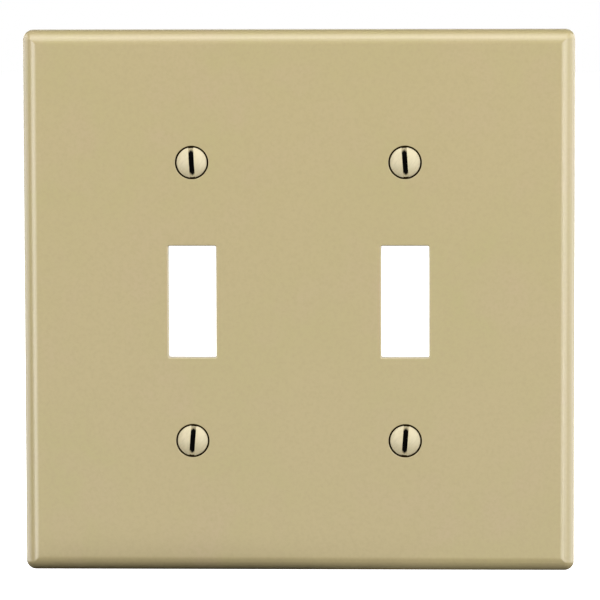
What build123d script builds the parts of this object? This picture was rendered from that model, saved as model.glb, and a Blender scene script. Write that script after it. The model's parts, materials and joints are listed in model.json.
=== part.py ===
from build123d import *
import math
import os

# A two-gang toggle wall plate with its four captive cover screws, in millimetres.
# +X is to the right seen from the room, +Z is up, and the plate's face looks to -Y.
# The wall plane is Y = 0, and the origin is the plate's centre on that plane.
# A height is a distance from the wall plane towards the room, and a depth is one
# from the plate's face towards the wall.

# Plate
plate_width = 119.4
plate_height = 117.5
plate_depth = 5.6
edge_radius = 3.2  # rounding from the outer wall into the face
edge_draft = 2.0  # degrees
corner_radius = 2.2  # of the outline at the wall plane
face_thickness = 2.4
rim_wall = 2.0
pocket_corner_radius = 1.0
pocket_floor_radius = 0.8
pocket_draft = 1.5  # degrees

# Device openings: one gang is one switch wide
gang_pitch = 46.0375
gangs = 2
opening_width = 10.35
opening_height = 24.3
opening_corner_radius = 0.3
opening_edge_radius = 0.3
collar_wall = 1.2

# Ribs behind the face
rib_width = 1.0
rib_rear = 2.0  # height of the ribs' and collars' rear edge
rib_bite = 0.5  # how far a rib runs on into what it joins
ejector_mark_radius = 2.0
ejector_mark_depth = 0.15

# Screw holes
screw_spacing = 60.325
ring_gap = 0.36  # between the screw's head and the side of its recess
recess_depth = 0.95
seat_clearance = 0.05
lip_radius = 1.65  # smaller than the thread, so the screw can't fall out
boss_radius = 4.8
boss_rear = 1.6  # height of the bosses' rear face

# Cover screws, 6-32 UNC oval countersunk
thread_radius = 1.7525
shank_radius = 1.45
head_radius = 3.25
head_sink = 0.15  # depth of the head's rim below the plate's face
head_land = 0.25
head_crown = 0.9
cone_angle = 82.0  # degrees, whole angle
screw_length = 12.7  # from the head's rim to the tip
thread_clearance = 0.8  # between the boss and the thread's start
tip_chamfer = 0.6
slot_width = 1.1
slot_depth = 1.3

# Slot lean at rest, in degrees about +Y, which is clockwise seen from the room
slot_lean = {
    "upper_left": -3.4,
    "upper_right": -4.0,
    "lower_left": 4.3,
    "lower_right": 4.1,
}

OVERRUN = 1.0  # how far a cutting tool runs past a face

pocket_depth = plate_depth - face_thickness
gang_centres = [(i - (gangs - 1) / 2) * gang_pitch for i in range(gangs)]
cone_slope = math.tan(math.radians(cone_angle / 2))
screw_places = {
    "upper_left": (gang_centres[0], screw_spacing / 2),
    "upper_right": (gang_centres[-1], screw_spacing / 2),
    "lower_left": (gang_centres[0], -screw_spacing / 2),
    "lower_right": (gang_centres[-1], -screw_spacing / 2),
}

WALL = Plane.XZ  # its normal points to the room
ACROSS_WIDTH = Plane(origin=(0, 0, 0), x_dir=(1, 0, 0), z_dir=(0, 0, -1))
ACROSS_HEIGHT = Plane(origin=(0, 0, 0), x_dir=(0, 0, 1), z_dir=(1, 0, 0))
FACE_SECTION = Plane(
    origin=(0, -plate_depth, 0), x_dir=(1, 0, 0), z_dir=(0, 0, 1)
)  # its X is a radius and its Y a depth


def edge_section(half_span):
    """Half of the plate's section, from its axis out to half_span, as a face."""
    draft = math.radians(edge_draft)
    wall_top = plate_depth - edge_radius * (1 - math.sin(draft))
    wall_foot = Vector(half_span, 0)
    wall_end = Vector(half_span - wall_top * math.tan(draft), wall_top)
    centre = Vector(
        wall_end.X - edge_radius * math.cos(draft), plate_depth - edge_radius
    )

    def on_arc(angle):
        return centre + Vector(math.cos(angle), math.sin(angle)) * edge_radius

    # A narrow section ends on its axis before the rounding reaches the face.
    reach = max(-1.0, min(1.0, -centre.X / edge_radius))
    last_angle = math.pi / 2 if centre.X >= 0 else math.acos(reach)
    arc_end = on_arc(last_angle)
    outline = [
        Line((0, 0), wall_foot),
        Line(wall_foot, wall_end),
        ThreePointArc(wall_end, on_arc((draft + last_angle) / 2), arc_end),
    ]
    if centre.X > 0:
        outline.append(Line(arc_end, (0, plate_depth)))
    outline.append(Line(outline[-1] @ 1, (0, 0)))
    return make_face(Curve() + outline)


def edge_bar(plane, span, length):
    """The plate's section right across span, length long."""
    half = extrude(plane * edge_section(span / 2), amount=length / 2, both=True)
    return half + mirror(half, about=Plane(origin=(0, 0, 0), z_dir=plane.x_dir))


def slab(width, height, low, high):
    """A block centred on the plate, between two heights."""
    return extrude(WALL.offset(low) * Rectangle(width, height), amount=high - low)


def outer_form():
    """The plate's outside: rounded edges that meet in mitres inside the corner rounding."""
    form = edge_bar(ACROSS_WIDTH, plate_width, plate_height) & edge_bar(
        ACROSS_HEIGHT, plate_height, plate_width
    )
    turned = revolve(
        ACROSS_WIDTH * edge_section(corner_radius), axis=Axis.Y, revolution_arc=360
    )
    for x_side in (-1, 1):
        for z_side in (-1, 1):
            axis_x = x_side * (plate_width / 2 - corner_radius)
            axis_z = z_side * (plate_height / 2 - corner_radius)
            quarter = Pos(x_side * corner_radius / 2, 0, z_side * corner_radius / 2) * slab(
                corner_radius, corner_radius, 0, plate_depth
            )
            place = Pos(axis_x, 0, axis_z)
            form = form - place * quarter + place * (turned & quarter)
    return form


def pocket():
    """The hollow behind the face, inside the rim."""
    mouth = RectangleRounded(
        plate_width - 2 * rim_wall, plate_height - 2 * rim_wall, pocket_corner_radius
    )
    hollow = extrude(WALL * mouth, amount=pocket_depth, taper=pocket_draft)
    floor = hollow.faces().sort_by(Axis.Y)[0]
    return fillet(floor.edges(), pocket_floor_radius)


def bar(x_range, z_range):
    """A rib between two pairs of coordinates, from its rear edge into the face."""
    width = x_range[1] - x_range[0]
    height = z_range[1] - z_range[0]
    centre = Pos(sum(x_range) / 2, 0, sum(z_range) / 2)
    return centre * slab(width, height, rib_rear, pocket_depth + rib_bite)


def upright_rib(x, z_range):
    return bar((x - rib_width / 2, x + rib_width / 2), z_range)


def level_rib(z, x_range):
    return bar(x_range, (z - rib_width / 2, z + rib_width / 2))


def stiffeners():
    """Collars around the openings, bosses around the screws, and the ribs between them."""
    inner_x = plate_width / 2 - rim_wall + rib_bite
    inner_z = plate_height / 2 - rim_wall + rib_bite
    collar_x = opening_width / 2 + collar_wall
    collar_z = opening_height / 2 + collar_wall
    boss = extrude(
        WALL.offset(boss_rear) * Circle(boss_radius),
        amount=pocket_depth + rib_bite - boss_rear,
    )
    pieces = [upright_rib(0, (-inner_z, inner_z))]
    for side in (-1, 1):
        pieces.append(level_rib(side * screw_spacing / 2, (-inner_x, inner_x)))
    edges = [-inner_x, *gang_centres, inner_x]
    for left, right in zip(edges, edges[1:]):
        start = left + (collar_x - rib_bite if left in gang_centres else 0)
        end = right - (collar_x - rib_bite if right in gang_centres else 0)
        pieces.append(level_rib(0, (start, end)))
    for x in gang_centres:
        pieces.append(bar((x - collar_x, x + collar_x), (-collar_z, collar_z)))
        for side in (-1, 1):
            span = sorted((side * (collar_z - rib_bite), side * inner_z))
            pieces.append(upright_rib(x, span))
    for x, z in screw_places.values():
        pieces.append(Pos(x, 0, z) * boss)
    return pieces


def ejector_marks():
    """Shallow round marks that the mould's pins leave, in the middle of each rib panel."""
    mark = extrude(
        WALL.offset(pocket_depth) * Circle(ejector_mark_radius),
        amount=ejector_mark_depth,
    )
    inner_x = plate_width / 2 - rim_wall
    inner_z = plate_height / 2 - rim_wall
    outer_column = (inner_x + gang_centres[-1]) / 2
    inner_column = gang_centres[-1] / 2
    outer_row = (inner_z + screw_spacing / 2) / 2
    inner_row = screw_spacing / 4
    marks = []
    for x in (-outer_column, -inner_column, inner_column, outer_column):
        for z in (-outer_row, -inner_row, inner_row, outer_row):
            marks.append(Pos(x, 0, z) * mark)
    return marks


def seat_radius(depth):
    """Radius of the plate's countersink at a depth, clear of the head's cone."""
    below_land = depth - head_sink - head_land
    spare = seat_clearance / math.cos(math.radians(cone_angle / 2))
    return head_radius - below_land * cone_slope + spare


def screw_hole():
    """What a screw takes out of the plate, on the Y axis."""
    recess_radius = head_radius + ring_gap
    floor_radius = seat_radius(recess_depth)
    lip_depth = recess_depth + (floor_radius - lip_radius) / cone_slope
    section = FACE_SECTION * make_face(
        Polyline(
            (0, -OVERRUN),
            (recess_radius, -OVERRUN),
            (recess_radius, recess_depth),
            (floor_radius, recess_depth),
            (lip_radius, lip_depth),
            (lip_radius, plate_depth),
            (0, plate_depth),
            close=True,
        )
    )
    return revolve(section, axis=Axis.Y, revolution_arc=360)


def opening():
    """What a toggle opening takes out of the plate."""
    outline = RectangleRounded(opening_width, opening_height, opening_corner_radius)
    return extrude(WALL * outline, amount=plate_depth + OVERRUN)


def wall_plate():
    """The moulded plate: face, rim, ribs, openings and screw holes in one solid."""
    plate = outer_form() - pocket()
    for piece in stiffeners():
        plate += piece
    for x in gang_centres:
        plate -= Pos(x, 0, 0) * opening()
    plate -= ejector_marks()
    face = plate.faces().sort_by(Axis.Y)[0]
    plate = fillet(
        [edge for wire in face.inner_wires() for edge in wire.edges()],
        opening_edge_radius,
    )
    for x, z in screw_places.values():
        plate -= Pos(x, 0, z) * screw_hole()
    return plate


def cover_screw():
    """An oval-head screw on the Y axis with its slot upright."""
    rim = head_sink
    top = rim - head_crown
    land_end = rim + head_land
    cone_end = land_end + (head_radius - shank_radius) / cone_slope
    thread_start = plate_depth - boss_rear + thread_clearance
    run_in = thread_radius - shank_radius
    tip = rim + screw_length
    crown_radius = (head_radius**2 + head_crown**2) / (2 * head_crown)
    half_way = math.asin(head_radius / crown_radius) / 2
    crown_middle = (
        crown_radius * math.sin(half_way),
        top + crown_radius * (1 - math.cos(half_way)),
    )
    crown = ThreePointArc((0, top), crown_middle, (head_radius, rim))
    body = Polyline(
        (head_radius, rim),
        (head_radius, land_end),
        (shank_radius, cone_end),
        (shank_radius, thread_start - run_in),
        (thread_radius, thread_start),
        (thread_radius, tip - tip_chamfer),
        (thread_radius - tip_chamfer, tip),
        (0, tip),
        (0, top),
    )
    section = FACE_SECTION * make_face(Curve() + [crown, body])
    screw = revolve(section, axis=Axis.Y, revolution_arc=360)
    slot_bottom = plate_depth - top - slot_depth
    slot = slab(slot_width, 2 * head_radius + OVERRUN, slot_bottom, plate_depth - top + OVERRUN)
    return screw - slot


parts = {"wall_plate": wall_plate()}
for place, (x, z) in screw_places.items():
    turn = Rotation(0, slot_lean[place], 0)
    parts[f"screw_{place}"] = Pos(x, 0, z) * turn * cover_screw()

os.makedirs("parts", exist_ok=True)
for name, shape in parts.items():
    shape.label = name
    export_step(shape, f"parts/{name}.step")
    size = shape.bounding_box().size
    print(name, len(shape.solids()), round(shape.volume, 2), size)
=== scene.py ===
import json
import math

import bmesh
import bpy
from bpy.props import FloatProperty, FloatVectorProperty, IntProperty, PointerProperty
from bpy.types import Operator, Panel, PropertyGroup
from mathutils import Matrix, Vector


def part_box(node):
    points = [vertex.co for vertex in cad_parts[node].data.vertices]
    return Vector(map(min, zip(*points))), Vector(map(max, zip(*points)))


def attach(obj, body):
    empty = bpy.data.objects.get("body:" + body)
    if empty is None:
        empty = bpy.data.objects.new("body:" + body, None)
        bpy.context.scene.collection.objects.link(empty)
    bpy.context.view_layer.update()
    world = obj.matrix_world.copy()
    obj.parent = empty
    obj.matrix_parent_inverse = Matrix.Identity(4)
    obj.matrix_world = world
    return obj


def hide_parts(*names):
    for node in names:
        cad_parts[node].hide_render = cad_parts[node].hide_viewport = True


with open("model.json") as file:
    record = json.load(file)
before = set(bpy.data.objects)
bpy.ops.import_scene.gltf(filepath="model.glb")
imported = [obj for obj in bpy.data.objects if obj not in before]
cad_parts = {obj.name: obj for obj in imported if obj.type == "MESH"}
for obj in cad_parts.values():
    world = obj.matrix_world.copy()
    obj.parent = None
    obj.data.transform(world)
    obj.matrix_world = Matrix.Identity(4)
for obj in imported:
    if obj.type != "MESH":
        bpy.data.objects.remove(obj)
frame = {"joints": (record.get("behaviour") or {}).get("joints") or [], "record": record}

bl_info = {
    "name": "Two-gang toggle wall plate",
    "version": (1, 0, 0),
    "blender": (4, 5, 0),
    "location": "View3D > Sidebar > Wall plate",
    "description": "Moulds a toggle wall plate and its cover screws around their packed frame",
    "category": "Object",
}

# The pieces are modelled lying on their backs: X to the right, Y up the plate, and Z out
# of the wall towards the room. stand_up turns each one upright, with its face to -Y.

MM = 0.001
MERGE = 0.0005 * MM  # vertices nearer to each other than this are made one
SAME_LEVEL = 0.0001 * MM  # heights that differ by less than this are the same
OVERRUN = MM  # how far a cutting tool runs past a face
RIB_BITE = 0.5 * MM  # how far a rib runs on into what it joins
REAR_ROUNDING = 0.2 * MM  # of the rear edges of ribs, collars and bosses
COLLAR_CORNER = 0.8 * MM  # rounding of a collar's upright corners
EDGE_BREAK = 0.06 * MM  # of a screw head's rim and of the foot of its slot
THREAD_FLANK = math.radians(30)  # lean of each side of the thread

POLISHED, TEXTURED, SHADED = range(3)  # the plate's material slots
ENAMELLED, PLATED, OXIDE_AND_PAINTED_SHADE = range(3)  # a screw's material slots
TURNED_PLACE = "turned_place"  # attribute that keeps a screw's vertices as they were turned

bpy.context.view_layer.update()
PLATE_LOW, PLATE_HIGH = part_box("wall_plate")
PLATE_WIDTH = PLATE_HIGH.x - PLATE_LOW.x
PLATE_HEIGHT = PLATE_HIGH.z - PLATE_LOW.z
PLATE_DEPTH = -PLATE_LOW.y
RECORD = frame["record"]
THREAD_RADIUS = next(
    m["dims"]["stud_r_mm"] * MM for m in RECORD["mounts"] if m["kind"] == "bolt_pattern"
)
SCREW_TIP = -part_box("screw_upper_left")[1].y
SCREW_PLACES = {
    joint["child"].removesuffix("_screw"): Vector(joint["pos_m"]) for joint in frame["joints"]
}
OPENING_PLACES = [
    (Vector(box["box_m"][0]) + Vector(box["box_m"][1])) / 2
    for box in RECORD["physics"]["openings"]
]
SCREW_RISE = max(place.z for place in SCREW_PLACES.values())


def length(name, description, default):
    """A size in metres that shows in the scene's length unit."""
    return FloatProperty(
        name=name, description=description, default=default, min=0.0, precision=5, unit="LENGTH"
    )


def angle(name, description, default):
    return FloatProperty(
        name=name, description=description, default=math.radians(default), subtype="ANGLE"
    )


def colour(name, description, default):
    return FloatVectorProperty(
        name=name, description=description, default=default, size=3, min=0.0, max=1.0,
        subtype="COLOR",
    )


def share(name, description, default):
    return FloatProperty(
        name=name, description=description, default=default, min=0.0, max=1.0, subtype="FACTOR"
    )


class PlateSizes(PropertyGroup):
    """Sizes of the moulded plate."""

    edge_radius: length("Edge radius", "Rounding from the outer wall into the face", 3.2 * MM)
    edge_draft: angle("Edge draft", "Lean of the outer wall", 2.0)
    corner_radius: length("Corner radius", "Corner of the outline at the wall", 2.2 * MM)
    face_thickness: length("Face thickness", "Thickness of the face", 2.4 * MM)
    rim_wall: length("Rim wall", "Thickness of the rim where it meets the wall", 2.0 * MM)
    pocket_draft: angle("Pocket draft", "Lean of the rim's inner wall", 1.5)
    pocket_corner: length("Pocket corner", "Upright corners inside the rim", 1.0 * MM)
    pocket_fillet: length("Pocket fillet", "Rounding at the foot of the inner wall", 0.8 * MM)
    opening_width: length("Opening width", "Width of a toggle opening", 10.35 * MM)
    opening_height: length("Opening height", "Height of a toggle opening", 24.3 * MM)
    opening_corner: length("Opening corner", "Upright corners of an opening", 0.3 * MM)
    opening_lip: length("Opening lip", "Rounding of an opening's front edge", 0.3 * MM)
    collar_wall: length("Collar wall", "Wall of the collar behind an opening", 1.2 * MM)
    rib_width: length("Rib width", "Thickness of the ribs", 1.0 * MM)
    rib_rear: length("Rib rear", "Height of the ribs' rear edges above the wall", 2.0 * MM)
    boss_radius: length("Boss radius", "Radius of the screw bosses", 4.8 * MM)
    boss_rear: length("Boss rear", "Height of the bosses' rear faces above the wall", 1.6 * MM)
    mark_radius: length("Ejector mark radius", "Radius of the ejector pin marks", 2.0 * MM)
    mark_depth: length("Ejector mark depth", "Depth of the ejector pin marks", 0.15 * MM)
    arc_steps: IntProperty(
        name="Arc steps", description="Flats in a rounded edge", default=28, min=4, max=64
    )


class ScrewSizes(PropertyGroup):
    """Sizes of a cover screw and of the hole that it sits in."""

    head_radius: length("Head radius", "Radius of the head at its rim", 3.25 * MM)
    head_sink: length("Head sink", "Depth of the head's rim below the face", 0.15 * MM)
    head_land: length("Head land", "Straight part of the head's rim", 0.25 * MM)
    head_crown: length("Head crown", "Rise of the oval head above its rim", 0.9 * MM)
    cone_angle: angle("Cone angle", "Whole angle of the countersink", 82.0)
    shank_radius: length("Shank radius", "Radius of the plain shank", 1.45 * MM)
    root_radius: length("Root radius", "Radius at the bottom of the thread", 1.2655 * MM)
    pitch: length("Pitch", "Thread pitch, 32 to the inch", 0.79375 * MM)
    thread_clearance: length("Thread clearance", "Gap from the boss to the thread", 0.8 * MM)
    tip_chamfer: length("Tip chamfer", "Chamfer at the free end", 0.6 * MM)
    slot_width: length("Slot width", "Width of the driver slot", 1.1 * MM)
    slot_depth: length("Slot depth", "Depth of the slot below the crown", 1.3 * MM)
    ring_gap: length("Ring gap", "Gap between the head and its recess", 0.36 * MM)
    recess_depth: length("Recess depth", "Depth of the straight recess", 0.95 * MM)
    recess_lip: length("Recess lip", "Rounding of the recess's mouth", 0.12 * MM)
    seat_clearance: length("Seat clearance", "Gap between head and seat", 0.05 * MM)
    lip_radius: length("Lip radius", "Hole that holds the screw captive", 1.65 * MM)
    lean_upper_left: angle("Lean upper left", "Slot's lean, clockwise from the room", -3.4)
    lean_upper_right: angle("Lean upper right", "Slot's lean, clockwise from the room", -4.0)
    lean_lower_left: angle("Lean lower left", "Slot's lean, clockwise from the room", 4.3)
    lean_lower_right: angle("Lean lower right", "Slot's lean, clockwise from the room", 4.1)
    turn_steps: IntProperty(
        name="Turn steps", description="Flats round a head and its hole", default=96, min=24,
        max=256,
    )
    thread_steps: IntProperty(
        name="Thread steps", description="Flats in a turn of the thread", default=64, min=16,
        max=256,
    )


class Finishes(PropertyGroup):
    """Colours and gloss."""

    ivory: colour("Ivory", "Moulded nylon", (0.514, 0.425, 0.226))
    ivory_shade: colour("Ivory shade", "Faintly greener patches", (0.498, 0.428, 0.212))
    ivory_warm: colour("Ivory warmth", "Faintly pinker patches", (0.522, 0.419, 0.239))
    ivory_fleck: colour("Ivory fleck", "Fine darker flecks", (0.486, 0.402, 0.211))
    # Painted shade: the near-black colour that darkens the gap round a screw head.
    recess_shade: colour("Recess shade", "Foot of the gap round a head", (0.035, 0.022, 0.006))
    nylon_roughness: share("Nylon roughness", "Roughness of the plate's face", 0.23)
    nylon_ior: FloatProperty(
        name="Nylon IOR", description="Index of refraction of the nylon", default=1.85, min=1.0
    )
    paint: colour("Paint", "Enamel on the screw heads", (0.665, 0.58, 0.375))
    paint_shade: colour("Paint shade", "Thinner enamel", (0.63, 0.565, 0.365))
    paint_scratch: colour("Paint scratch", "Dirt in scratched enamel", (0.36, 0.30, 0.17))
    paint_roughness: share("Paint roughness", "Roughness of the enamel", 0.32)
    zinc: colour("Zinc", "Plating on the shank and thread", (0.72, 0.72, 0.70))
    zinc_shade: colour("Zinc shade", "Bloom on the plating", (0.58, 0.58, 0.57))
    # Near-black oxide in the slot, darker than the oxide alone so that it is painted shade as
    # well.
    bare_slot: colour("Bare slot", "Oxide on the steel in the slot", (0.004, 0.0035, 0.003))


class Stage(PropertyGroup):
    """Camera and surroundings."""

    azimuth: angle("Azimuth", "Camera's turn to the right", 2.13)
    elevation: angle("Elevation", "Camera's height above level", 4.88)
    roll: angle("Roll", "Camera's roll", -0.15)
    distance: length("Distance", "From the camera to the plate", 1.0)
    softbox_distance: length("Softbox distance", "From the softboxes to the plate", 0.9)
    lens: FloatProperty(
        name="Lens", description="Focal length", default=276.2, min=1.0, unit="CAMERA"
    )
    aim: FloatVectorProperty(
        name="Aim", description="Point that the camera looks at", size=3, subtype="TRANSLATION",
        unit="LENGTH", default=(0.1 * MM, 0.0, -0.04 * MM),
    )
    backdrop: colour("Backdrop", "Floor and background", (1.0, 1.0, 1.0))
    ambient: share("Ambient", "Light from all round, apart from the lamps", 0.0)


# Modelling helpers


def only(piece):
    """Selects one object alone and makes it active."""
    bpy.ops.object.select_all(action="DESELECT")
    piece.select_set(True)
    bpy.context.view_layer.objects.active = piece


def start_edit(piece):
    only(piece)
    bpy.ops.object.mode_set(mode="EDIT")


def end_edit():
    bpy.ops.object.mode_set(mode="OBJECT")


def pick_faces(piece, wanted):
    """In edit mode, selects just the faces for which wanted(middle, normal) holds."""
    bpy.ops.mesh.select_mode(type="FACE")
    bpy.ops.mesh.select_all(action="DESELECT")
    mesh = bmesh.from_edit_mesh(piece.data)
    for face in mesh.faces:
        face.select_set(wanted(face.calc_center_median(), face.normal))
    bmesh.update_edit_mesh(piece.data)


def pick_edges(piece, wanted):
    """In edit mode, selects just the edges for which wanted(end, other end) holds."""
    bpy.ops.mesh.select_mode(type="EDGE")
    bpy.ops.mesh.select_all(action="DESELECT")
    mesh = bmesh.from_edit_mesh(piece.data)
    for edge in mesh.edges:
        edge.select_set(wanted(edge.verts[0].co, edge.verts[1].co))
    bmesh.update_edit_mesh(piece.data)


def close_and_orient():
    """In edit mode, merges doubles, fills what is open and turns all faces outwards."""
    bpy.ops.mesh.select_mode(type="VERT")
    bpy.ops.mesh.select_all(action="SELECT")
    bpy.ops.mesh.remove_doubles(threshold=MERGE)
    bpy.ops.mesh.fill_holes(sides=0)
    bpy.ops.mesh.select_all(action="SELECT")
    bpy.ops.mesh.normals_make_consistent(inside=False)


def arc(middle, radius, start, end, steps):
    """Points along an arc, with both ends."""
    angles = [start + (end - start) * i / steps for i in range(steps + 1)]
    return [
        (middle[0] + radius * math.cos(a), middle[1] + radius * math.sin(a)) for a in angles
    ]


def raise_outline(name, width, height, corner, rings, corner_steps):
    """A closed form whose level sections are a rounded rectangle, set in step by step.

    rings is a list of (set-in from the outline, height), and starts with a set-in of 0.
    """
    bpy.ops.mesh.primitive_plane_add(size=1, location=(0, 0, rings[0][1]))
    piece = bpy.context.object
    piece.name = name
    piece.scale = (width, height, 1)
    bpy.ops.object.transform_apply(location=True, rotation=True, scale=True)
    start_edit(piece)
    bpy.ops.mesh.select_all(action="SELECT")
    bpy.ops.mesh.bevel(offset=corner, segments=corner_steps, profile=0.5, affect="VERTICES")
    # Where the set-in reaches the corner's radius, the corner's flats end in one point, and
    # the sides meet at a mitre from there on.
    levels = []
    for (inset, level), (next_inset, next_level) in zip(rings, rings[1:]):
        if inset < corner < next_inset:
            part = (corner - inset) / (next_inset - inset)
            levels.append((corner, level + (next_level - level) * part))
        levels.append((next_inset, next_level))
    inset, level = rings[0]
    for next_inset, next_level in levels:
        bpy.ops.mesh.inset(thickness=next_inset - inset, depth=next_level - level)
        if next_inset == corner:
            half = Vector((width / 2 - corner, height / 2 - corner))
            mesh = bmesh.from_edit_mesh(piece.data)
            for vertex in mesh.verts:
                if vertex.select:
                    vertex.co.x = math.copysign(half.x, vertex.co.x)
                    vertex.co.y = math.copysign(half.y, vertex.co.y)
            bmesh.update_edit_mesh(piece.data)
            bpy.ops.mesh.remove_doubles(threshold=MERGE)
            pick_faces(piece, lambda middle, normal: abs(middle.z - next_level) < SAME_LEVEL)
        inset, level = next_inset, next_level
    close_and_orient()
    end_edit()
    return piece


def turn_profile(name, profile, steps):
    """A closed solid of revolution about Z, from (radius, height) points."""
    bpy.ops.mesh.primitive_plane_add(size=MM)
    piece = bpy.context.object
    piece.name = name
    start_edit(piece)
    bpy.ops.mesh.select_mode(type="VERT")
    bpy.ops.mesh.select_all(action="SELECT")
    bpy.ops.mesh.merge(type="CENTER")
    radius, height = profile[0]
    bpy.ops.transform.translate(value=(radius, 0, height))
    for next_radius, next_height in profile[1:]:
        bpy.ops.mesh.extrude_vertices_move(
            TRANSFORM_OT_translate={"value": (next_radius - radius, 0, next_height - height)}
        )
        radius, height = next_radius, next_height
    bpy.ops.mesh.select_all(action="SELECT")
    bpy.ops.mesh.spin(steps=steps, angle=math.tau, center=(0, 0, 0), axis=(0, 0, 1))
    close_and_orient()
    end_edit()
    return piece


def moulded_bar(name, x_range, y_range, z_range, soften):
    """A rib: a block whose rear edges are rounded off."""
    bpy.ops.mesh.primitive_cube_add(size=1)
    piece = bpy.context.object
    piece.name = name
    piece.scale = [high - low for low, high in (x_range, y_range, z_range)]
    piece.location = [(low + high) / 2 for low, high in (x_range, y_range, z_range)]
    bpy.ops.object.transform_apply(location=True, rotation=True, scale=True)
    start_edit(piece)
    rear = z_range[0]
    pick_edges(piece, lambda *ends: all(abs(end.z - rear) < SAME_LEVEL for end in ends))
    bpy.ops.mesh.bevel(offset=soften, segments=3, profile=0.5, affect="EDGES")
    end_edit()
    return piece


def combine(piece, tool, operation):
    """Joins, cuts or trims a piece with a tool, which is used up."""
    only(piece)
    change = piece.modifiers.new(operation, "BOOLEAN")
    change.object = tool
    change.operation = operation
    change.solver = "MANIFOLD"
    bpy.ops.object.modifier_apply(modifier=change.name)
    bpy.data.objects.remove(tool)


def copy_of(piece, name):
    """A copy of a piece with its own mesh."""
    twin = piece.copy()
    twin.data = piece.data.copy()
    twin.name = name
    bpy.context.scene.collection.objects.link(twin)
    return twin


def repeat(tool, places):
    """Copies of a tool at several places, joined into one object. The first is used up."""
    twins = [copy_of(tool, tool.name) for _ in places]
    for twin, place in zip(twins, places):
        twin.location = place
    bpy.data.objects.remove(tool)
    bpy.ops.object.select_all(action="DESELECT")
    for twin in twins:
        twin.select_set(True)
    bpy.context.view_layer.objects.active = twins[0]
    bpy.ops.object.transform_apply(location=True, rotation=True, scale=True)
    if len(twins) > 1:
        bpy.ops.object.join()
    return twins[0]


def stand_up(piece, place=(0, 0, 0), lean=0.0):
    """Turns a lying piece upright, then by its lean, at its place in the frame."""
    piece.matrix_world = (
        Matrix.Translation(place)
        @ Matrix.Rotation(lean, 4, "Y")
        @ Matrix.Rotation(math.pi / 2, 4, "X")
    )
    only(piece)
    bpy.ops.object.transform_apply(location=True, rotation=True, scale=True)


def smooth(piece, sharper_than):
    """Smooth shading with crisp edges, and flat faces kept flat."""
    only(piece)
    bpy.ops.object.shade_smooth_by_angle(
        angle=math.radians(sharper_than), keep_sharp_edges=True
    )
    weigh = piece.modifiers.new("even_normals", "WEIGHTED_NORMAL")
    weigh.keep_sharp = True
    bpy.ops.object.modifier_apply(modifier=weigh.name)


def give_materials(piece, *materials):
    """Puts materials in a piece's slots, in order, and the first one on all its faces."""
    piece.data.materials.clear()
    for material in materials:
        piece.data.materials.append(material)
    for face in piece.data.polygons:
        face.material_index = 0  # which is POLISHED on the plate and ENAMELLED on a screw


# The plate


def opening_middles():
    """Where the openings are on a plate that lies on its back."""
    return [(place.x, place.z, 0) for place in OPENING_PLACES]


def screw_middles():
    """Where the screws are on a plate that lies on its back."""
    return [(place.x, place.z, 0) for place in SCREW_PLACES.values()]


def edge_rings(sizes):
    """The outer wall and the rounding of the plate, as (set-in, height) points."""
    radius, draft = sizes.edge_radius, sizes.edge_draft
    wall_top = PLATE_DEPTH - radius * (1 - math.sin(draft))
    middle = (wall_top * math.tan(draft) + radius * math.cos(draft), PLATE_DEPTH - radius)
    rounding = arc(middle, radius, math.pi - draft, math.pi / 2, sizes.arc_steps)
    return [(0, 0), *rounding]


def pocket_rings(sizes, floor):
    """The hollow's inner wall and its foot, from just behind the wall plane."""
    draft, fillet = sizes.pocket_draft, sizes.pocket_fillet
    wall_top = floor - fillet * (1 - math.sin(draft))
    middle = (wall_top * math.tan(draft) + fillet * math.cos(draft), floor - fillet)
    return [(0, 0), *arc(middle, fillet, math.pi - draft, math.pi / 2, steps=8)]


def add_ribs(plate, sizes, floor):
    """Ribs, collars and bosses behind the face."""
    levels = (sizes.rib_rear, floor + RIB_BITE)
    half = sizes.rib_width / 2
    reach_x = PLATE_WIDTH / 2 - sizes.rim_wall + RIB_BITE
    reach_y = PLATE_HEIGHT / 2 - sizes.rim_wall + RIB_BITE
    for x in (0, *(place.x for place in OPENING_PLACES)):
        rib = moulded_bar("rib", (x - half, x + half), (-reach_y, reach_y), levels, REAR_ROUNDING)
        combine(plate, rib, "UNION")
    for y in (-SCREW_RISE, 0, SCREW_RISE):
        rib = moulded_bar("rib", (-reach_x, reach_x), (y - half, y + half), levels, REAR_ROUNDING)
        combine(plate, rib, "UNION")
    middle = (REAR_ROUNDING, sizes.rib_rear + REAR_ROUNDING)
    collar_foot = arc(middle, REAR_ROUNDING, math.pi, math.pi * 1.5, steps=3)
    collar = raise_outline(
        "collar",
        sizes.opening_width + 2 * sizes.collar_wall,
        sizes.opening_height + 2 * sizes.collar_wall,
        COLLAR_CORNER,
        [(0, floor + RIB_BITE), *collar_foot],
        corner_steps=6,
    )
    combine(plate, repeat(collar, opening_middles()), "UNION")
    middle = (sizes.boss_radius - REAR_ROUNDING, sizes.boss_rear + REAR_ROUNDING)
    boss_foot = arc(middle, REAR_ROUNDING, 0, -math.pi / 2, steps=3)
    top = floor + RIB_BITE
    boss = turn_profile(
        "boss",
        [(0, top), (sizes.boss_radius, top), *boss_foot, (0, sizes.boss_rear)],
        steps=64,
    )
    combine(plate, repeat(boss, screw_middles()), "UNION")


def crisp_mitres(plate, corner):
    """Keeps a line where the rounded sides meet at the face's corners."""
    slack = 0.001 * MM

    def on_mitre(vertex):
        inset_x = PLATE_WIDTH / 2 - abs(vertex.x)
        inset_y = PLATE_HEIGHT / 2 - abs(vertex.y)
        past_corner = inset_x > corner - slack
        return past_corner and abs(inset_x - inset_y) < slack and vertex.z > PLATE_DEPTH / 2

    start_edit(plate)
    pick_edges(plate, lambda end, other: on_mitre(end) and on_mitre(other))
    bpy.ops.mesh.mark_sharp()
    end_edit()


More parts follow.
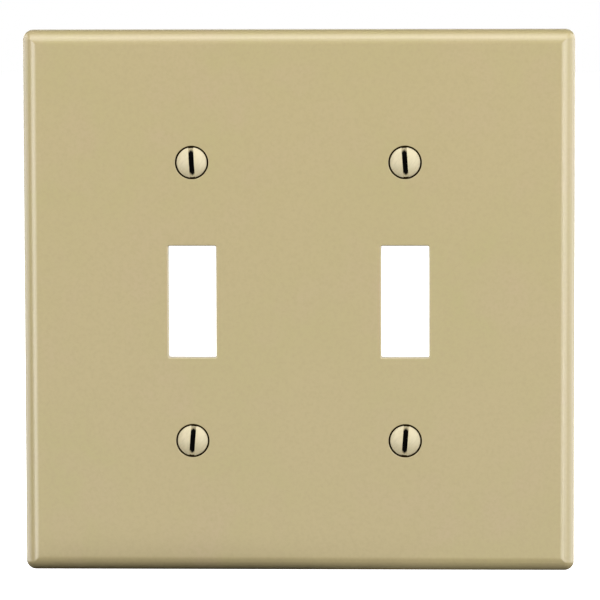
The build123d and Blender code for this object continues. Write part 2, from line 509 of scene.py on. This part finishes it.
def opening_tool(sizes):
    """What a toggle opening takes out, with a mouth that flares into the face."""
    lip = sizes.opening_lip
    flare = arc((0, PLATE_DEPTH - lip), lip, math.pi / 2, 0, steps=6)
    return raise_outline(
        "opening_tool",
        sizes.opening_width + 2 * lip,
        sizes.opening_height + 2 * lip,
        sizes.opening_corner + lip,
        [(0, PLATE_DEPTH + OVERRUN), *flare, (lip, -OVERRUN)],
        corner_steps=6,
    )


def seat_radius(screw, depth):
    """Radius of the countersink at a depth below the face."""
    half = screw.cone_angle / 2
    below_land = depth - screw.head_sink - screw.head_land
    return screw.head_radius - below_land * math.tan(half) + screw.seat_clearance / math.cos(half)


def hole_tool(screw):
    """What a screw takes out of the plate: recess, countersink and the lip's hole."""
    recess = screw.head_radius + screw.ring_gap
    floor_radius = seat_radius(screw, screw.recess_depth)
    lip_depth = screw.recess_depth + (floor_radius - screw.lip_radius) / math.tan(
        screw.cone_angle / 2
    )
    lip = screw.recess_lip
    mouth = arc((recess + lip, PLATE_DEPTH - lip), lip, math.pi / 2, math.pi, steps=4)
    return turn_profile(
        "hole_tool",
        [
            (0, PLATE_DEPTH + OVERRUN),
            (recess + lip, PLATE_DEPTH + OVERRUN),
            *mouth,
            (recess, PLATE_DEPTH - screw.recess_depth),
            (floor_radius, PLATE_DEPTH - screw.recess_depth),
            (screw.lip_radius, PLATE_DEPTH - lip_depth),
            (screw.lip_radius, 0),
            (0, 0),
        ],
        screw.turn_steps,
    )


def ejector_places(sizes):
    """The middle of each panel between the ribs."""
    side = OPENING_PLACES[-1].x
    columns = (side / 2, (PLATE_WIDTH / 2 - sizes.rim_wall + side) / 2)
    rows = (SCREW_RISE / 2, (PLATE_HEIGHT / 2 - sizes.rim_wall + SCREW_RISE) / 2)
    return [
        (x * x_side, y * y_side, 0)
        for x in columns for y in rows for x_side in (-1, 1) for y_side in (-1, 1)
    ]


def model_plate(sizes, screw):
    """The whole moulding, lying on its back."""
    floor = PLATE_DEPTH - sizes.face_thickness
    plate = raise_outline(
        "plate", PLATE_WIDTH, PLATE_HEIGHT, sizes.corner_radius, edge_rings(sizes),
        corner_steps=10,
    )
    pocket = raise_outline(
        "pocket",
        PLATE_WIDTH - 2 * sizes.rim_wall,
        PLATE_HEIGHT - 2 * sizes.rim_wall,
        sizes.pocket_corner,
        [(0, -OVERRUN), *pocket_rings(sizes, floor)],
        corner_steps=6,
    )
    combine(plate, pocket, "DIFFERENCE")
    add_ribs(plate, sizes, floor)
    combine(plate, repeat(opening_tool(sizes), opening_middles()), "DIFFERENCE")
    combine(plate, repeat(hole_tool(screw), screw_middles()), "DIFFERENCE")
    mark = turn_profile(
        "mark",
        [
            (0, floor - OVERRUN),
            (sizes.mark_radius, floor - OVERRUN),
            (sizes.mark_radius, floor + sizes.mark_depth),
            (0, floor + sizes.mark_depth),
        ],
        steps=32,
    )
    combine(plate, repeat(mark, ejector_places(sizes)), "DIFFERENCE")
    crisp_mitres(plate, sizes.corner_radius)
    return plate


def finish_plate_faces(plate, sizes, screw):
    """Textured behind, painted shade in the gaps round the screw heads, and polished elsewhere.
    """
    inside = 0.1 * MM
    reach_x = PLATE_WIDTH / 2 - sizes.rim_wall + inside
    reach_y = PLATE_HEIGHT / 2 - sizes.rim_wall + inside
    behind = PLATE_DEPTH - sizes.face_thickness + sizes.mark_depth + inside
    recess = screw.head_radius + screw.ring_gap + inside
    holes = [Vector(middle[:2]) for middle in screw_middles()]
    half_width = sizes.opening_width / 2 + inside
    half_height = sizes.opening_height / 2 + inside
    for face in plate.data.polygons:
        middle = face.center
        near = min((middle.xy - hole).length for hole in holes)
        in_opening = any(
            abs(middle.x - opening.x) < half_width and abs(middle.y) < half_height
            for opening in OPENING_PLACES
        )
        if in_opening:
            face.material_index = POLISHED
        elif abs(middle.x) < reach_x and abs(middle.y) < reach_y and middle.z < behind:
            face.material_index = TEXTURED
        # Faces down in a screw's recess take the painted shade.
        elif near < recess and middle.z < PLATE_DEPTH - screw.recess_lip / 3:
            face.material_index = SHADED


# The screws


def thread_ridge(screw, start, end):
    """The thread's helical ridge, cut to its run-in and to the chamfered tip."""
    buried = 0.06 * MM  # how far the ridge reaches into the core
    crest = screw.pitch / 16  # half its width, as foot is half the ridge's
    foot = crest + (THREAD_RADIUS - screw.root_radius + buried) * math.tan(THREAD_FLANK)
    inner = screw.root_radius - buried
    turns = math.ceil((start - end) / screw.pitch) + 2
    bpy.ops.mesh.primitive_plane_add(size=1)
    ridge = bpy.context.object
    ridge.name = "ridge"
    corners = [
        (inner, 0, -foot), (THREAD_RADIUS, 0, -crest), (inner, 0, foot), (THREAD_RADIUS, 0, crest)
    ]
    start_edit(ridge)
    mesh = bmesh.from_edit_mesh(ridge.data)
    mesh.verts.ensure_lookup_table()
    for vertex, corner in zip(mesh.verts, corners):
        vertex.co = corner
    bmesh.update_edit_mesh(ridge.data)
    bpy.ops.mesh.select_all(action="SELECT")
    bpy.ops.transform.translate(value=(0, 0, end - screw.pitch))
    bpy.ops.mesh.delete(type="ONLY_FACE")
    end_edit()
    wind = ridge.modifiers.new("wind", "SCREW")
    wind.axis = "Z"
    wind.angle = math.tau
    wind.screw_offset = screw.pitch
    wind.iterations = turns
    wind.steps = wind.render_steps = screw.thread_steps
    wind.use_merge_vertices = False
    bpy.ops.object.modifier_apply(modifier=wind.name)
    start_edit(ridge)
    close_and_orient()
    end_edit()
    run_in = THREAD_RADIUS - screw.shank_radius
    core = screw.root_radius - buried / 2
    envelope = turn_profile(
        "envelope",
        [
            (0, start),
            (core, start),
            (THREAD_RADIUS + buried, start - run_in - (THREAD_RADIUS + buried - core)),
            (THREAD_RADIUS + buried, end + screw.tip_chamfer + buried),
            (THREAD_RADIUS - screw.tip_chamfer, end),
            (0, end),
        ],
        screw.thread_steps,
    )
    combine(ridge, envelope, "INTERSECT")
    return ridge


def head_profile(screw):
    """The crown, land and cone, down to the shank, as (radius, height) points."""
    rim = PLATE_DEPTH - screw.head_sink
    crown_radius = (screw.head_radius**2 + screw.head_crown**2) / (2 * screw.head_crown)
    middle = (0, rim + screw.head_crown - crown_radius)
    crown_end = math.acos((screw.head_radius - EDGE_BREAK) / crown_radius)
    crown = arc(middle, crown_radius, math.pi / 2, crown_end, steps=20)
    land_end = rim - screw.head_land
    cone_end = land_end - (screw.head_radius - screw.shank_radius) / math.tan(
        screw.cone_angle / 2
    )
    return [
        *crown,
        (screw.head_radius, rim - EDGE_BREAK / 2),
        (screw.head_radius, land_end),
        (screw.shank_radius, cone_end),
    ]


def model_screw(screw, boss_rear):
    """One cover screw with its axis on Z and its slot along Y."""
    thread_start = boss_rear - screw.thread_clearance
    neck = screw.shank_radius - screw.root_radius
    core_chamfer = screw.tip_chamfer / 5
    profile = head_profile(screw) + [
        (screw.shank_radius, thread_start),
        (screw.root_radius, thread_start - neck),
        (screw.root_radius, SCREW_TIP + core_chamfer),
        (screw.root_radius - core_chamfer, SCREW_TIP),
        (0, SCREW_TIP),
    ]
    body = turn_profile("cover_screw", profile, screw.turn_steps)
    top = PLATE_DEPTH - screw.head_sink + screw.head_crown
    slot = moulded_bar(
        "slot_tool",
        (-screw.slot_width / 2, screw.slot_width / 2),
        (-2 * screw.head_radius, 2 * screw.head_radius),
        (top - screw.slot_depth, top + OVERRUN),
        EDGE_BREAK,
    )
    combine(body, slot, "DIFFERENCE")
    combine(body, thread_ridge(screw, thread_start, SCREW_TIP), "UNION")
    return body


def finish_screw_faces(piece, screw):
    """Enamel on the crown, oxide darkened further as painted shade in the slot, and zinc below.
    """
    slack = 0.01 * MM
    rim = PLATE_DEPTH - screw.head_sink
    slot_floor = rim + screw.head_crown - screw.slot_depth
    slot_half = screw.slot_width / 2 + slack
    foot_top = slot_floor + EDGE_BREAK + slack
    for face in piece.data.polygons:
        middle = face.center
        within_slot = abs(middle.x) < slot_half and middle.z > slot_floor - slack
        on_wall = abs(face.normal.x) > 0.3
        # Slot faces take the oxide with painted shade.
        if within_slot and (on_wall or middle.z < foot_top):
            face.material_index = OXIDE_AND_PAINTED_SHADE
        elif middle.z < rim - screw.head_land:
            face.material_index = PLATED


def keep_place(piece):
    """Stores each vertex's place before the piece is put in its hole, for its finishes."""
    store = piece.data.attributes.new(TURNED_PLACE, "FLOAT_VECTOR", "POINT")
    for vertex, value in zip(piece.data.vertices, store.data):
        value.vector = vertex.co


# Finishes


class Nodes:
    """A material's node tree, with short ways to add and link nodes."""

    def __init__(self, name):
        self.material = bpy.data.materials.new(name)
        self.material.use_nodes = True
        self.tree = self.material.node_tree
        self.shader = self.tree.nodes["Principled BSDF"]

    def add(self, kind, **settings):
        node = self.tree.nodes.new(kind)
        for key, value in settings.items():
            setattr(node, key, value)
        return node

    def link(self, source, target):
        self.tree.links.new(source, target)

    def object_coordinates(self):
        return self.add("ShaderNodeTexCoord").outputs["Object"]

    def noise(self, vector, scale, detail=2.0, roughness=0.5):
        node = self.add("ShaderNodeTexNoise")
        node.inputs["Scale"].default_value = scale
        node.inputs["Detail"].default_value = detail
        node.inputs["Roughness"].default_value = roughness
        self.link(vector, node.inputs["Vector"])
        return node.outputs["Fac"]

    def between(self, factor, low, high, low_out, high_out):
        """Maps a factor from one range to another."""
        node = self.add("ShaderNodeMapRange")
        self.link(factor, node.inputs["Value"])
        for socket, value in zip(
            ("From Min", "From Max", "To Min", "To Max"), (low, high, low_out, high_out)
        ):
            node.inputs[socket].default_value = value
        return node.outputs["Result"]

    def mix(self, factor, first, second):
        """Mixes two colours, each a value or a socket."""
        node = self.add("ShaderNodeMix", data_type="RGBA")
        self.link(factor, node.inputs["Factor"])
        # A Mix node's sockets for colours are its inputs 6 and 7 and its output 2.
        for socket, value in ((node.inputs[6], first), (node.inputs[7], second)):
            if isinstance(value, bpy.types.NodeSocket):
                self.link(value, socket)
            else:
                socket.default_value = (*value, 1.0)
        return node.outputs[2]

    def bump(self, height, distance, strength=1.0, below=None):
        node = self.add("ShaderNodeBump")
        node.inputs["Distance"].default_value = distance
        node.inputs["Strength"].default_value = strength
        self.link(height, node.inputs["Height"])
        if below is not None:
            self.link(below, node.inputs["Normal"])
        return node.outputs["Normal"]


def nylon(finish):
    """Polished ivory nylon: faint flow tones, slightly uneven gloss and a hint of swell."""
    m = Nodes("ivory_nylon")
    place = m.object_coordinates()
    greenish = m.between(m.noise(place, 38.0, 3.0), 0.42, 0.68, 0.0, 1.0)
    base = m.mix(greenish, tuple(finish.ivory), tuple(finish.ivory_shade))
    warm = m.between(m.noise(place, 71.0, 3.0), 0.5, 0.75, 0.0, 1.0)
    base = m.mix(warm, base, tuple(finish.ivory_warm))
    fleck = m.between(m.noise(place, 1500.0, 4.0, 0.6), 0.42, 0.75, 0.0, 1.0)
    m.link(m.mix(fleck, base, tuple(finish.ivory_fleck)), m.shader.inputs["Base Color"])
    rough = finish.nylon_roughness
    gloss = m.between(m.noise(place, 700.0, 4.0, 0.6), 0.3, 0.7, rough - 0.03, rough + 0.04)
    m.link(gloss, m.shader.inputs["Roughness"])
    grain = m.bump(m.noise(place, 4200.0, 2.0), 0.0012 * MM)
    swell = m.bump(m.noise(place, 210.0, 1.0), 0.0012 * MM, below=grain)
    m.link(swell, m.shader.inputs["Normal"])
    m.shader.inputs["IOR"].default_value = finish.nylon_ior
    return m.material


def textured_nylon(finish):
    """The same nylon off the spark-eroded rear half of the mould: matt and finely pitted."""
    m = Nodes("ivory_nylon_rear")
    place = m.object_coordinates()
    tone = m.between(m.noise(place, 45.0, 3.0), 0.4, 0.65, 0.0, 1.0)
    m.link(m.mix(tone, tuple(finish.ivory), tuple(finish.ivory_shade)),
           m.shader.inputs["Base Color"])
    pits = m.noise(place, 3600.0, 3.0, 0.65)
    m.link(m.between(pits, 0.3, 0.7, 0.5, 0.68), m.shader.inputs["Roughness"])
    m.link(m.bump(pits, 0.02 * MM), m.shader.inputs["Normal"])
    m.shader.inputs["IOR"].default_value = finish.nylon_ior
    return m.material


def recess_painted_shade_nylon(finish):
    """The side and floor of a screw's recess, with painted shade darkening it from just below its
    mouth.
    """
    m = Nodes("ivory_nylon_recess")
    place = m.object_coordinates()
    height = m.add("ShaderNodeSeparateXYZ")
    m.link(place, height.inputs[0])
    # Painted shade: ivory at the face, near black from 0.15 mm down the recess.
    depth = m.between(height.outputs["Y"], -PLATE_DEPTH, -PLATE_DEPTH + 0.15 * MM, 0.0, 1.0)
    m.link(m.mix(depth, tuple(finish.ivory), tuple(finish.recess_shade)),
           m.shader.inputs["Base Color"])
    grain = m.noise(place, 3000.0, 3.0)
    m.link(m.between(grain, 0.3, 0.7, 0.55, 0.75), m.shader.inputs["Roughness"])
    m.shader.inputs["Specular IOR Level"].default_value = 0.02
    return m.material


def turned_place(m):
    """A screw's own coordinates, in which the slot runs along Y and the axis is Z."""
    return m.add("ShaderNodeAttribute", attribute_name=TURNED_PLACE).outputs["Vector"]


def across_axis(m, place):
    """Distance from the screw's axis, in metres."""
    flat = m.add("ShaderNodeVectorMath", operation="MULTIPLY")
    m.link(place, flat.inputs[0])
    flat.inputs[1].default_value = (1, 1, 0)
    far = m.add("ShaderNodeVectorMath", operation="LENGTH")
    m.link(flat.outputs["Vector"], far.inputs[0])
    return far.outputs["Value"]


def enamel(finish):
    """Ivory enamel on a turned head: rings of the lathe tool, and scratches from handling."""
    m = Nodes("ivory_enamel")
    place = turned_place(m)
    radius = across_axis(m, place)
    rings = m.add("ShaderNodeTexNoise", noise_dimensions="1D")
    rings.inputs["Scale"].default_value = 2600.0
    rings.inputs["Detail"].default_value = 2.0
    m.link(radius, rings.inputs["W"])
    # Scratches lean to one side, and are far longer than they are wide.
    turn = m.add("ShaderNodeMapping", vector_type="TEXTURE")
    m.link(place, turn.inputs["Vector"])
    turn.inputs["Rotation"].default_value = (0, 0, math.radians(-38))
    turn.inputs["Scale"].default_value = (0.14 * MM, 2.0 * MM, 1.0)
    scratch = m.between(m.noise(turn.outputs["Vector"], 1.0, 2.0), 0.50, 0.66, 0.0, 1.0)
    worn = m.between(m.noise(place, 900.0, 3.0), 0.45, 0.75, 0.0, 1.0)
    base = m.mix(worn, tuple(finish.paint), tuple(finish.paint_shade))
    m.link(m.mix(m.between(scratch, 0.0, 1.0, 0.0, 0.22), base, tuple(finish.paint_scratch)),
           m.shader.inputs["Base Color"])
    rough = finish.paint_roughness
    m.link(m.between(scratch, 0.0, 1.0, rough, rough + 0.12), m.shader.inputs["Roughness"])
    turned = m.bump(rings.outputs["Fac"], 0.012 * MM)
    m.link(m.bump(scratch, -0.006 * MM, below=turned), m.shader.inputs["Normal"])
    return m.material


def zinc_plate(finish):
    """Bright zinc with a faint bloom, as on the shank and the rolled thread."""
    m = Nodes("zinc_plate")
    place = turned_place(m)
    bloom = m.between(m.noise(place, 1500.0, 3.0), 0.35, 0.7, 0.0, 1.0)
    m.link(m.mix(bloom, tuple(finish.zinc), tuple(finish.zinc_shade)),
           m.shader.inputs["Base Color"])
    m.link(m.between(bloom, 0.0, 1.0, 0.26, 0.42), m.shader.inputs["Roughness"])
    m.link(m.bump(m.noise(place, 9000.0, 2.0), 0.002 * MM), m.shader.inputs["Normal"])
    m.shader.inputs["Metallic"].default_value = 1.0
    return m.material


def bare_slot(finish):
    """Black oxide down in the slot, made near black as painted shade, with enamel that ran in at
    its two ends.

    The dark oxide and painted shade end in a blunt point with a ragged edge.
    """
    m = Nodes("bare_slot")
    place = turned_place(m)
    split = m.add("ShaderNodeSeparateXYZ")
    m.link(place, split.inputs[0])
    along, across = (m.add("ShaderNodeMath", operation="ABSOLUTE") for _ in range(2))
    m.link(split.outputs["Y"], along.inputs[0])
    m.link(split.outputs["X"], across.inputs[0])
    pointed = m.add("ShaderNodeMath", operation="ADD")
    m.link(across.outputs[0], pointed.inputs[0])
    m.link(along.outputs[0], pointed.inputs[1])
    ragged = m.add("ShaderNodeMath", operation="MULTIPLY_ADD")
    m.link(m.noise(place, 1400.0, 3.0), ragged.inputs[0])
    ragged.inputs[1].default_value = 0.5 * MM
    m.link(pointed.outputs[0], ragged.inputs[2])
    # Painted shade: near black in the middle of the slot, fading to enamel towards its ends.
    reach = m.between(ragged.outputs[0], 2.8 * MM, 3.3 * MM, 0.0, 1.0)
    m.link(m.mix(reach, tuple(finish.bare_slot), tuple(finish.paint)),
           m.shader.inputs["Base Color"])
    m.link(m.between(reach, 0.0, 1.0, 0.85, 0.5), m.shader.inputs["Roughness"])
    m.shader.inputs["Specular IOR Level"].default_value = 0.08
    return m.material


def pale_backdrop(stage):
    """Shadowless white."""
    m = Nodes("pale_backdrop")
    m.shader.inputs["Base Color"].default_value = (*stage.backdrop, 1.0)
    m.shader.inputs["Emission Color"].default_value = (*stage.backdrop, 1.0)
    m.shader.inputs["Emission Strength"].default_value = 1.0
    m.shader.inputs["Roughness"].default_value = 1.0
    return m.material


# Operators


class WALLPLATE_OT_mould_plate(Operator):
    """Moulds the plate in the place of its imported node"""

    bl_idname = "wallplate.mould_plate"
    bl_label = "Mould the plate"

    def execute(self, context):
        scene = context.scene
        sizes, screw, finishes = scene.plate_sizes, scene.screw_sizes, scene.plate_finishes
        plate = model_plate(sizes, screw)
        give_materials(
            plate, nylon(finishes), textured_nylon(finishes), recess_painted_shade_nylon(finishes)
        )
        finish_plate_faces(plate, sizes, screw)
        stand_up(plate)
        smooth(plate, 32)
        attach(plate, "plate")
        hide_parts("wall_plate")
        return {"FINISHED"}


class WALLPLATE_OT_turn_screws(Operator):
    """Turns one cover screw and puts a copy of it in each hole"""

    bl_idname = "wallplate.turn_screws"
    bl_label = "Turn the cover screws"

    def execute(self, context):
        scene = context.scene
        sizes = scene.screw_sizes
        first = model_screw(sizes, scene.plate_sizes.boss_rear)
        finishes = scene.plate_finishes
        give_materials(first, enamel(finishes), zinc_plate(finishes), bare_slot(finishes))
        finish_screw_faces(first, sizes)
        keep_place(first)
        for name, place in SCREW_PLACES.items():
            piece = copy_of(first, f"cover_screw_{name}")
            stand_up(piece, place, getattr(sizes, f"lean_{name}"))
            smooth(piece, 30)
            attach(piece, f"{name}_screw")
            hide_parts(f"screw_{name}")
        bpy.data.objects.remove(first)
        return {"FINISHED"}


def add_softbox(stage, name, azimuth, elevation, spread, long_side, brightness, lift=None):
    """A long area lamp that faces the plate from one direction, at the softboxes' distance.

    A softbox with a lift stands upright, with its middle that far above its direction, and
    one with none is level. spread is the angle that its narrow side fills, as the plate sees
    it. long_side and lift are in metres, and brightness in tens of watts a square metre.
    """
    far = stage.softbox_distance
    narrow_side = 2 * far * math.tan(math.radians(spread) / 2)
    upright = lift is not None
    lamp = bpy.data.lights.new(name, "AREA")
    lamp.shape = "RECTANGLE"
    lamp.size, lamp.size_y = (narrow_side, long_side) if upright else (long_side, narrow_side)
    lamp.energy = 10 * brightness * lamp.size * lamp.size_y
    holder = bpy.data.objects.new(name, lamp)
    bpy.context.scene.collection.objects.link(holder)
    a, e = math.radians(azimuth), math.radians(elevation)
    away = Vector((math.sin(a) * math.cos(e), -math.cos(a) * math.cos(e), math.sin(e)))
    holder.location = away * far + Vector((0, 0, lift if upright else 0))
    holder.rotation_euler = away.to_track_quat("Z", "Y").to_euler()
    holder.visible_camera = False


def add_softboxes(stage):
    """Upright softboxes left, right and behind, and level ones above and a little below.

    The lists give each softbox's direction and spread, in degrees, and its brightness.
    """
    for side, boxes in (
        (-1, ((21, 5, 0.60), (26, 5, 0.85), (32, 7, 0.85), (40, 9, 1.13), (51, 13, 0.30),
              (91, 24, 0.42), (117, 28, 0.58))),
        (1, ((16, 5, 0.30), (21, 5, 1.15), (32, 7, 1.60), (40, 9, 0.50), (51, 13, 0.75),
             (68, 21, 0.32), (91, 24, 0.44), (117, 28, 0.68))),
    ):
        for azimuth, spread, brightness in boxes:
            name = f"{'left' if side < 0 else 'right'}_softbox_{azimuth}"
            add_softbox(stage, name, side * azimuth, 0, spread, 1.14, brightness, lift=0.25)
    for end, long_side, boxes in (
        ("low", 0.6, ((-13, 7, 0.17), (-7, 5, 0.12))),
        ("top", 1.1, ((40, 10, 0.34), (50, 10, 0.51), (61, 12, 0.92), (78, 22, 0.50))),
    ):
        for elevation, spread, brightness in boxes:
            name = f"{end}_softbox_{abs(elevation)}"
            add_softbox(stage, name, 0, elevation, spread, long_side, brightness)
    for azimuth, spread, brightness in ((-150, 16, 0.9), (150, 16, 0.9), (180, 40, 0.33)):
        name = f"rear_softbox_{azimuth}"
        add_softbox(stage, name, azimuth, 0, spread, 0.5, brightness, lift=0.03)


def add_flag():
    """A black card out of sight below the plate, which keeps light off its lower edge."""
    width, reach = 80 * MM, 30 * MM
    to_the_left, gap = 28 * MM, 1.5 * MM
    bpy.ops.mesh.primitive_plane_add(size=1)
    flag = bpy.context.object
    flag.name = "flag"
    flag.scale = (width, reach, 1)
    flag.location = (-to_the_left, -reach / 2 - MM, PLATE_LOW.z - gap)
    bpy.ops.object.transform_apply(location=True, rotation=True, scale=True)
    m = Nodes("black_card")
    m.shader.inputs["Base Color"].default_value = (0.0, 0.0, 0.0, 1.0)
    m.shader.inputs["Specular IOR Level"].default_value = 0.0
    flag.data.materials.append(m.material)
    flag.visible_camera = False


def add_camera(stage):
    """The camera, looking at the stage's aim."""
    a, e = stage.azimuth, stage.elevation
    back = Vector((math.sin(a) * math.cos(e), -math.cos(a) * math.cos(e), math.sin(e)))
    level = Vector((math.cos(a), math.sin(a), 0))
    up = back.cross(level)
    right = level * math.cos(stage.roll) + up * math.sin(stage.roll)
    up = up * math.cos(stage.roll) - level * math.sin(stage.roll)
    lens = bpy.data.cameras.new("camera")
    lens.lens = stage.lens
    camera = bpy.data.objects.new("camera", lens)
    bpy.context.scene.collection.objects.link(camera)
    turn = Matrix((right, up, back)).transposed().to_4x4()
    place = Vector(stage.aim) + back * stage.distance
    camera.matrix_world = Matrix.Translation(place) @ turn
    lens.clip_start, lens.clip_end = 0.05, 50.0
    bpy.context.scene.camera = camera


def add_world(stage):
    """White where the camera looks past the object, and dim for everything else."""
    world = bpy.data.worlds.new("surroundings")
    bpy.context.scene.world = world
    world.use_nodes = True
    tree = world.node_tree
    seen = tree.nodes["Background"]
    seen.inputs["Color"].default_value = (*stage.backdrop, 1.0)
    dim = tree.nodes.new("ShaderNodeBackground")
    dim.inputs["Color"].default_value = (*stage.backdrop, 1.0)
    dim.inputs["Strength"].default_value = stage.ambient
    ray = tree.nodes.new("ShaderNodeLightPath")
    choose = tree.nodes.new("ShaderNodeMixShader")
    tree.links.new(ray.outputs["Is Camera Ray"], choose.inputs[0])
    tree.links.new(dim.outputs[0], choose.inputs[1])
    tree.links.new(seen.outputs[0], choose.inputs[2])
    tree.links.new(choose.outputs[0], tree.nodes["World Output"].inputs["Surface"])


class WALLPLATE_OT_set_stage(Operator):
    """Lays the pale floor and sets the camera and the lamps"""

    bl_idname = "wallplate.set_stage"
    bl_label = "Set the stage"

    def execute(self, context):
        stage = context.scene.plate_stage
        floor_level = PLATE_LOW.z - 0.5 * MM
        bpy.ops.mesh.primitive_plane_add(size=6, location=(0, 0, floor_level))
        floor = context.object
        floor.name = "floor"
        bpy.ops.object.transform_apply(location=True, rotation=True, scale=True)
        floor.data.materials.append(pale_backdrop(stage))
        floor.visible_diffuse = floor.visible_glossy = False
        floor.visible_shadow = False
        add_softboxes(stage)
        add_flag()
        add_camera(stage)
        add_world(stage)
        context.scene.view_settings.view_transform = "Standard"
        return {"FINISHED"}


class VIEW3D_PT_wall_plate(Panel):
    """Sizes, finishes and the steps that build the wall plate"""

    bl_label = "Wall plate"
    bl_space_type = "VIEW_3D"
    bl_region_type = "UI"
    bl_category = "Wall plate"

    def draw(self, context):
        for group in (context.scene.plate_sizes, context.scene.screw_sizes,
                      context.scene.plate_finishes, context.scene.plate_stage):
            box = self.layout.box()
            for key in group.__annotations__:
                box.prop(group, key)
        for operator in (WALLPLATE_OT_mould_plate, WALLPLATE_OT_turn_screws,
                         WALLPLATE_OT_set_stage):
            self.layout.operator(operator.bl_idname)


GROUPS = {
    "plate_sizes": PlateSizes,
    "screw_sizes": ScrewSizes,
    "plate_finishes": Finishes,
    "plate_stage": Stage,
}
CLASSES = (
    *GROUPS.values(),
    WALLPLATE_OT_mould_plate,
    WALLPLATE_OT_turn_screws,
    WALLPLATE_OT_set_stage,
    VIEW3D_PT_wall_plate,
)


def register():
    for cls in CLASSES:
        bpy.utils.register_class(cls)
    for name, group in GROUPS.items():
        setattr(bpy.types.Scene, name, PointerProperty(type=group))


def unregister():
    for name in GROUPS:
        delattr(bpy.types.Scene, name)
    for cls in reversed(CLASSES):
        bpy.utils.unregister_class(cls)


def main():
    register()
    bpy.ops.wallplate.mould_plate()
    bpy.ops.wallplate.turn_screws()
    bpy.ops.wallplate.set_stage()


if __name__ == "__main__":
    main()
